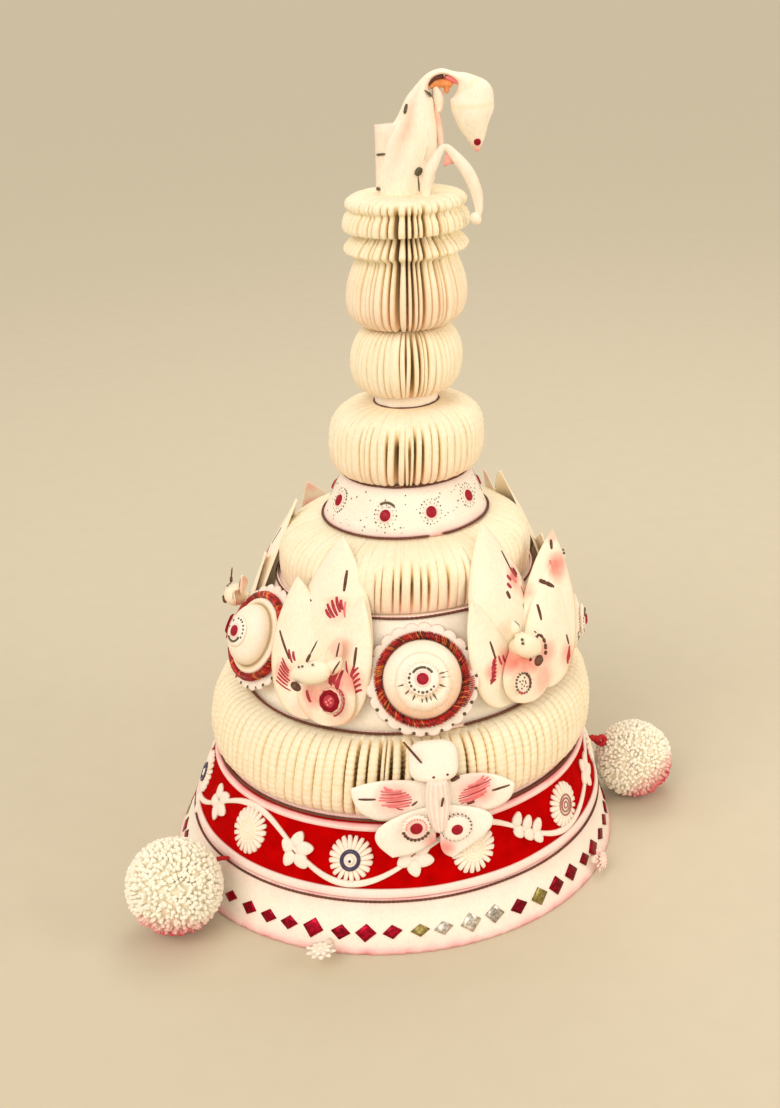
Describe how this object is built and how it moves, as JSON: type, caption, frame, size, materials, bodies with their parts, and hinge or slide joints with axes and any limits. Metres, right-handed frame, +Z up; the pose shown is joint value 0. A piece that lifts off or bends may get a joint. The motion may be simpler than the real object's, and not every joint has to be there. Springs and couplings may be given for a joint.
{
  "type": "wedding topor",
  "caption": "Tall tiered ceremonial groom's hat of white pith: conical rim, red vine band, pleated rings, medallions, birds, dotted collar, frilled urn and a bird on top.",
  "frame": {"origin": "centre of the head opening, on the plane that the rim rests on", "axes": "+Z up through the stack, -Y towards the front with the butterfly, +X towards the wearer's left"},
  "size_m": [0.2743, 0.2221, 0.3756],
  "materials": {
    "pleated_pith": "soft matte pith leaves",
    "plain_pith": "smooth matte pith sheet",
    "brown_cord": "twisted thread",
    "red_cloth": "plain woven cloth",
    "sequins": "glossy sequins",
    "thread_ball": "fluffy thread with pink tips"
  },
  "bodies": {
    "root": {"band_top_cord": "brown_cord", "base_band": "plain_pith", "bird_body_1": "pleated_pith", "bird_body_2": "pleated_pith", "bird_body_3": "pleated_pith", "bird_body_4": "pleated_pith", "bird_body_5": "pleated_pith", "bird_petals_1": "plain_pith", "bird_petals_2": "plain_pith", "bird_petals_3": "plain_pith", "bird_petals_4": "plain_pith", "bird_petals_5": "plain_pith", "butterfly_body": "pleated_pith", "butterfly_head": "pleated_pith", "butterfly_lower_wings": "plain_pith", "butterfly_upper_wings": "plain_pith", "collar": "plain_pith", "collar_lower_cord": "brown_cord", "collar_upper_cord": "brown_cord", "drum": "plain_pith", "drum_lower_cord": "brown_cord", "drum_upper_cord": "brown_cord", "finial_bird": "pleated_pith", "finial_strip": "plain_pith", "lower_edging": "plain_pith", "medallion_card_1": "plain_pith", "medallion_card_2": "plain_pith", "medallion_card_3": "plain_pith", "medallion_card_4": "plain_pith", "medallion_card_5": "plain_pith", "medallion_dome_1": "pleated_pith", "medallion_dome_2": "pleated_pith", "medallion_dome_3": "pleated_pith", "medallion_dome_4": "pleated_pith", "medallion_dome_5": "pleated_pith", "medallion_ring_1": "sequins", "medallion_ring_2": "sequins", "medallion_ring_3": "sequins", "medallion_ring_4": "sequins", "medallion_ring_5": "sequins", "neck": "plain_pith", "neck_cord": "brown_cord", "pleated_ring_1": "pleated_pith", "pleated_ring_2": "pleated_pith", "pleated_ring_3": "pleated_pith", "pleated_ring_4": "pleated_pith", "pompom_left": "thread_ball", "pompom_right": "thread_ball", "pompom_tie_left": "red_cloth", "pompom_tie_right": "red_cloth", "red_band": "red_cloth", "rim_cord": "brown_cord", "rim_flower_left": "plain_pith", "rim_flower_right": "plain_pith", "upper_edging": "plain_pith", "urn": "pleated_pith", "vine": "plain_pith"}
  },
  "joints": []
}
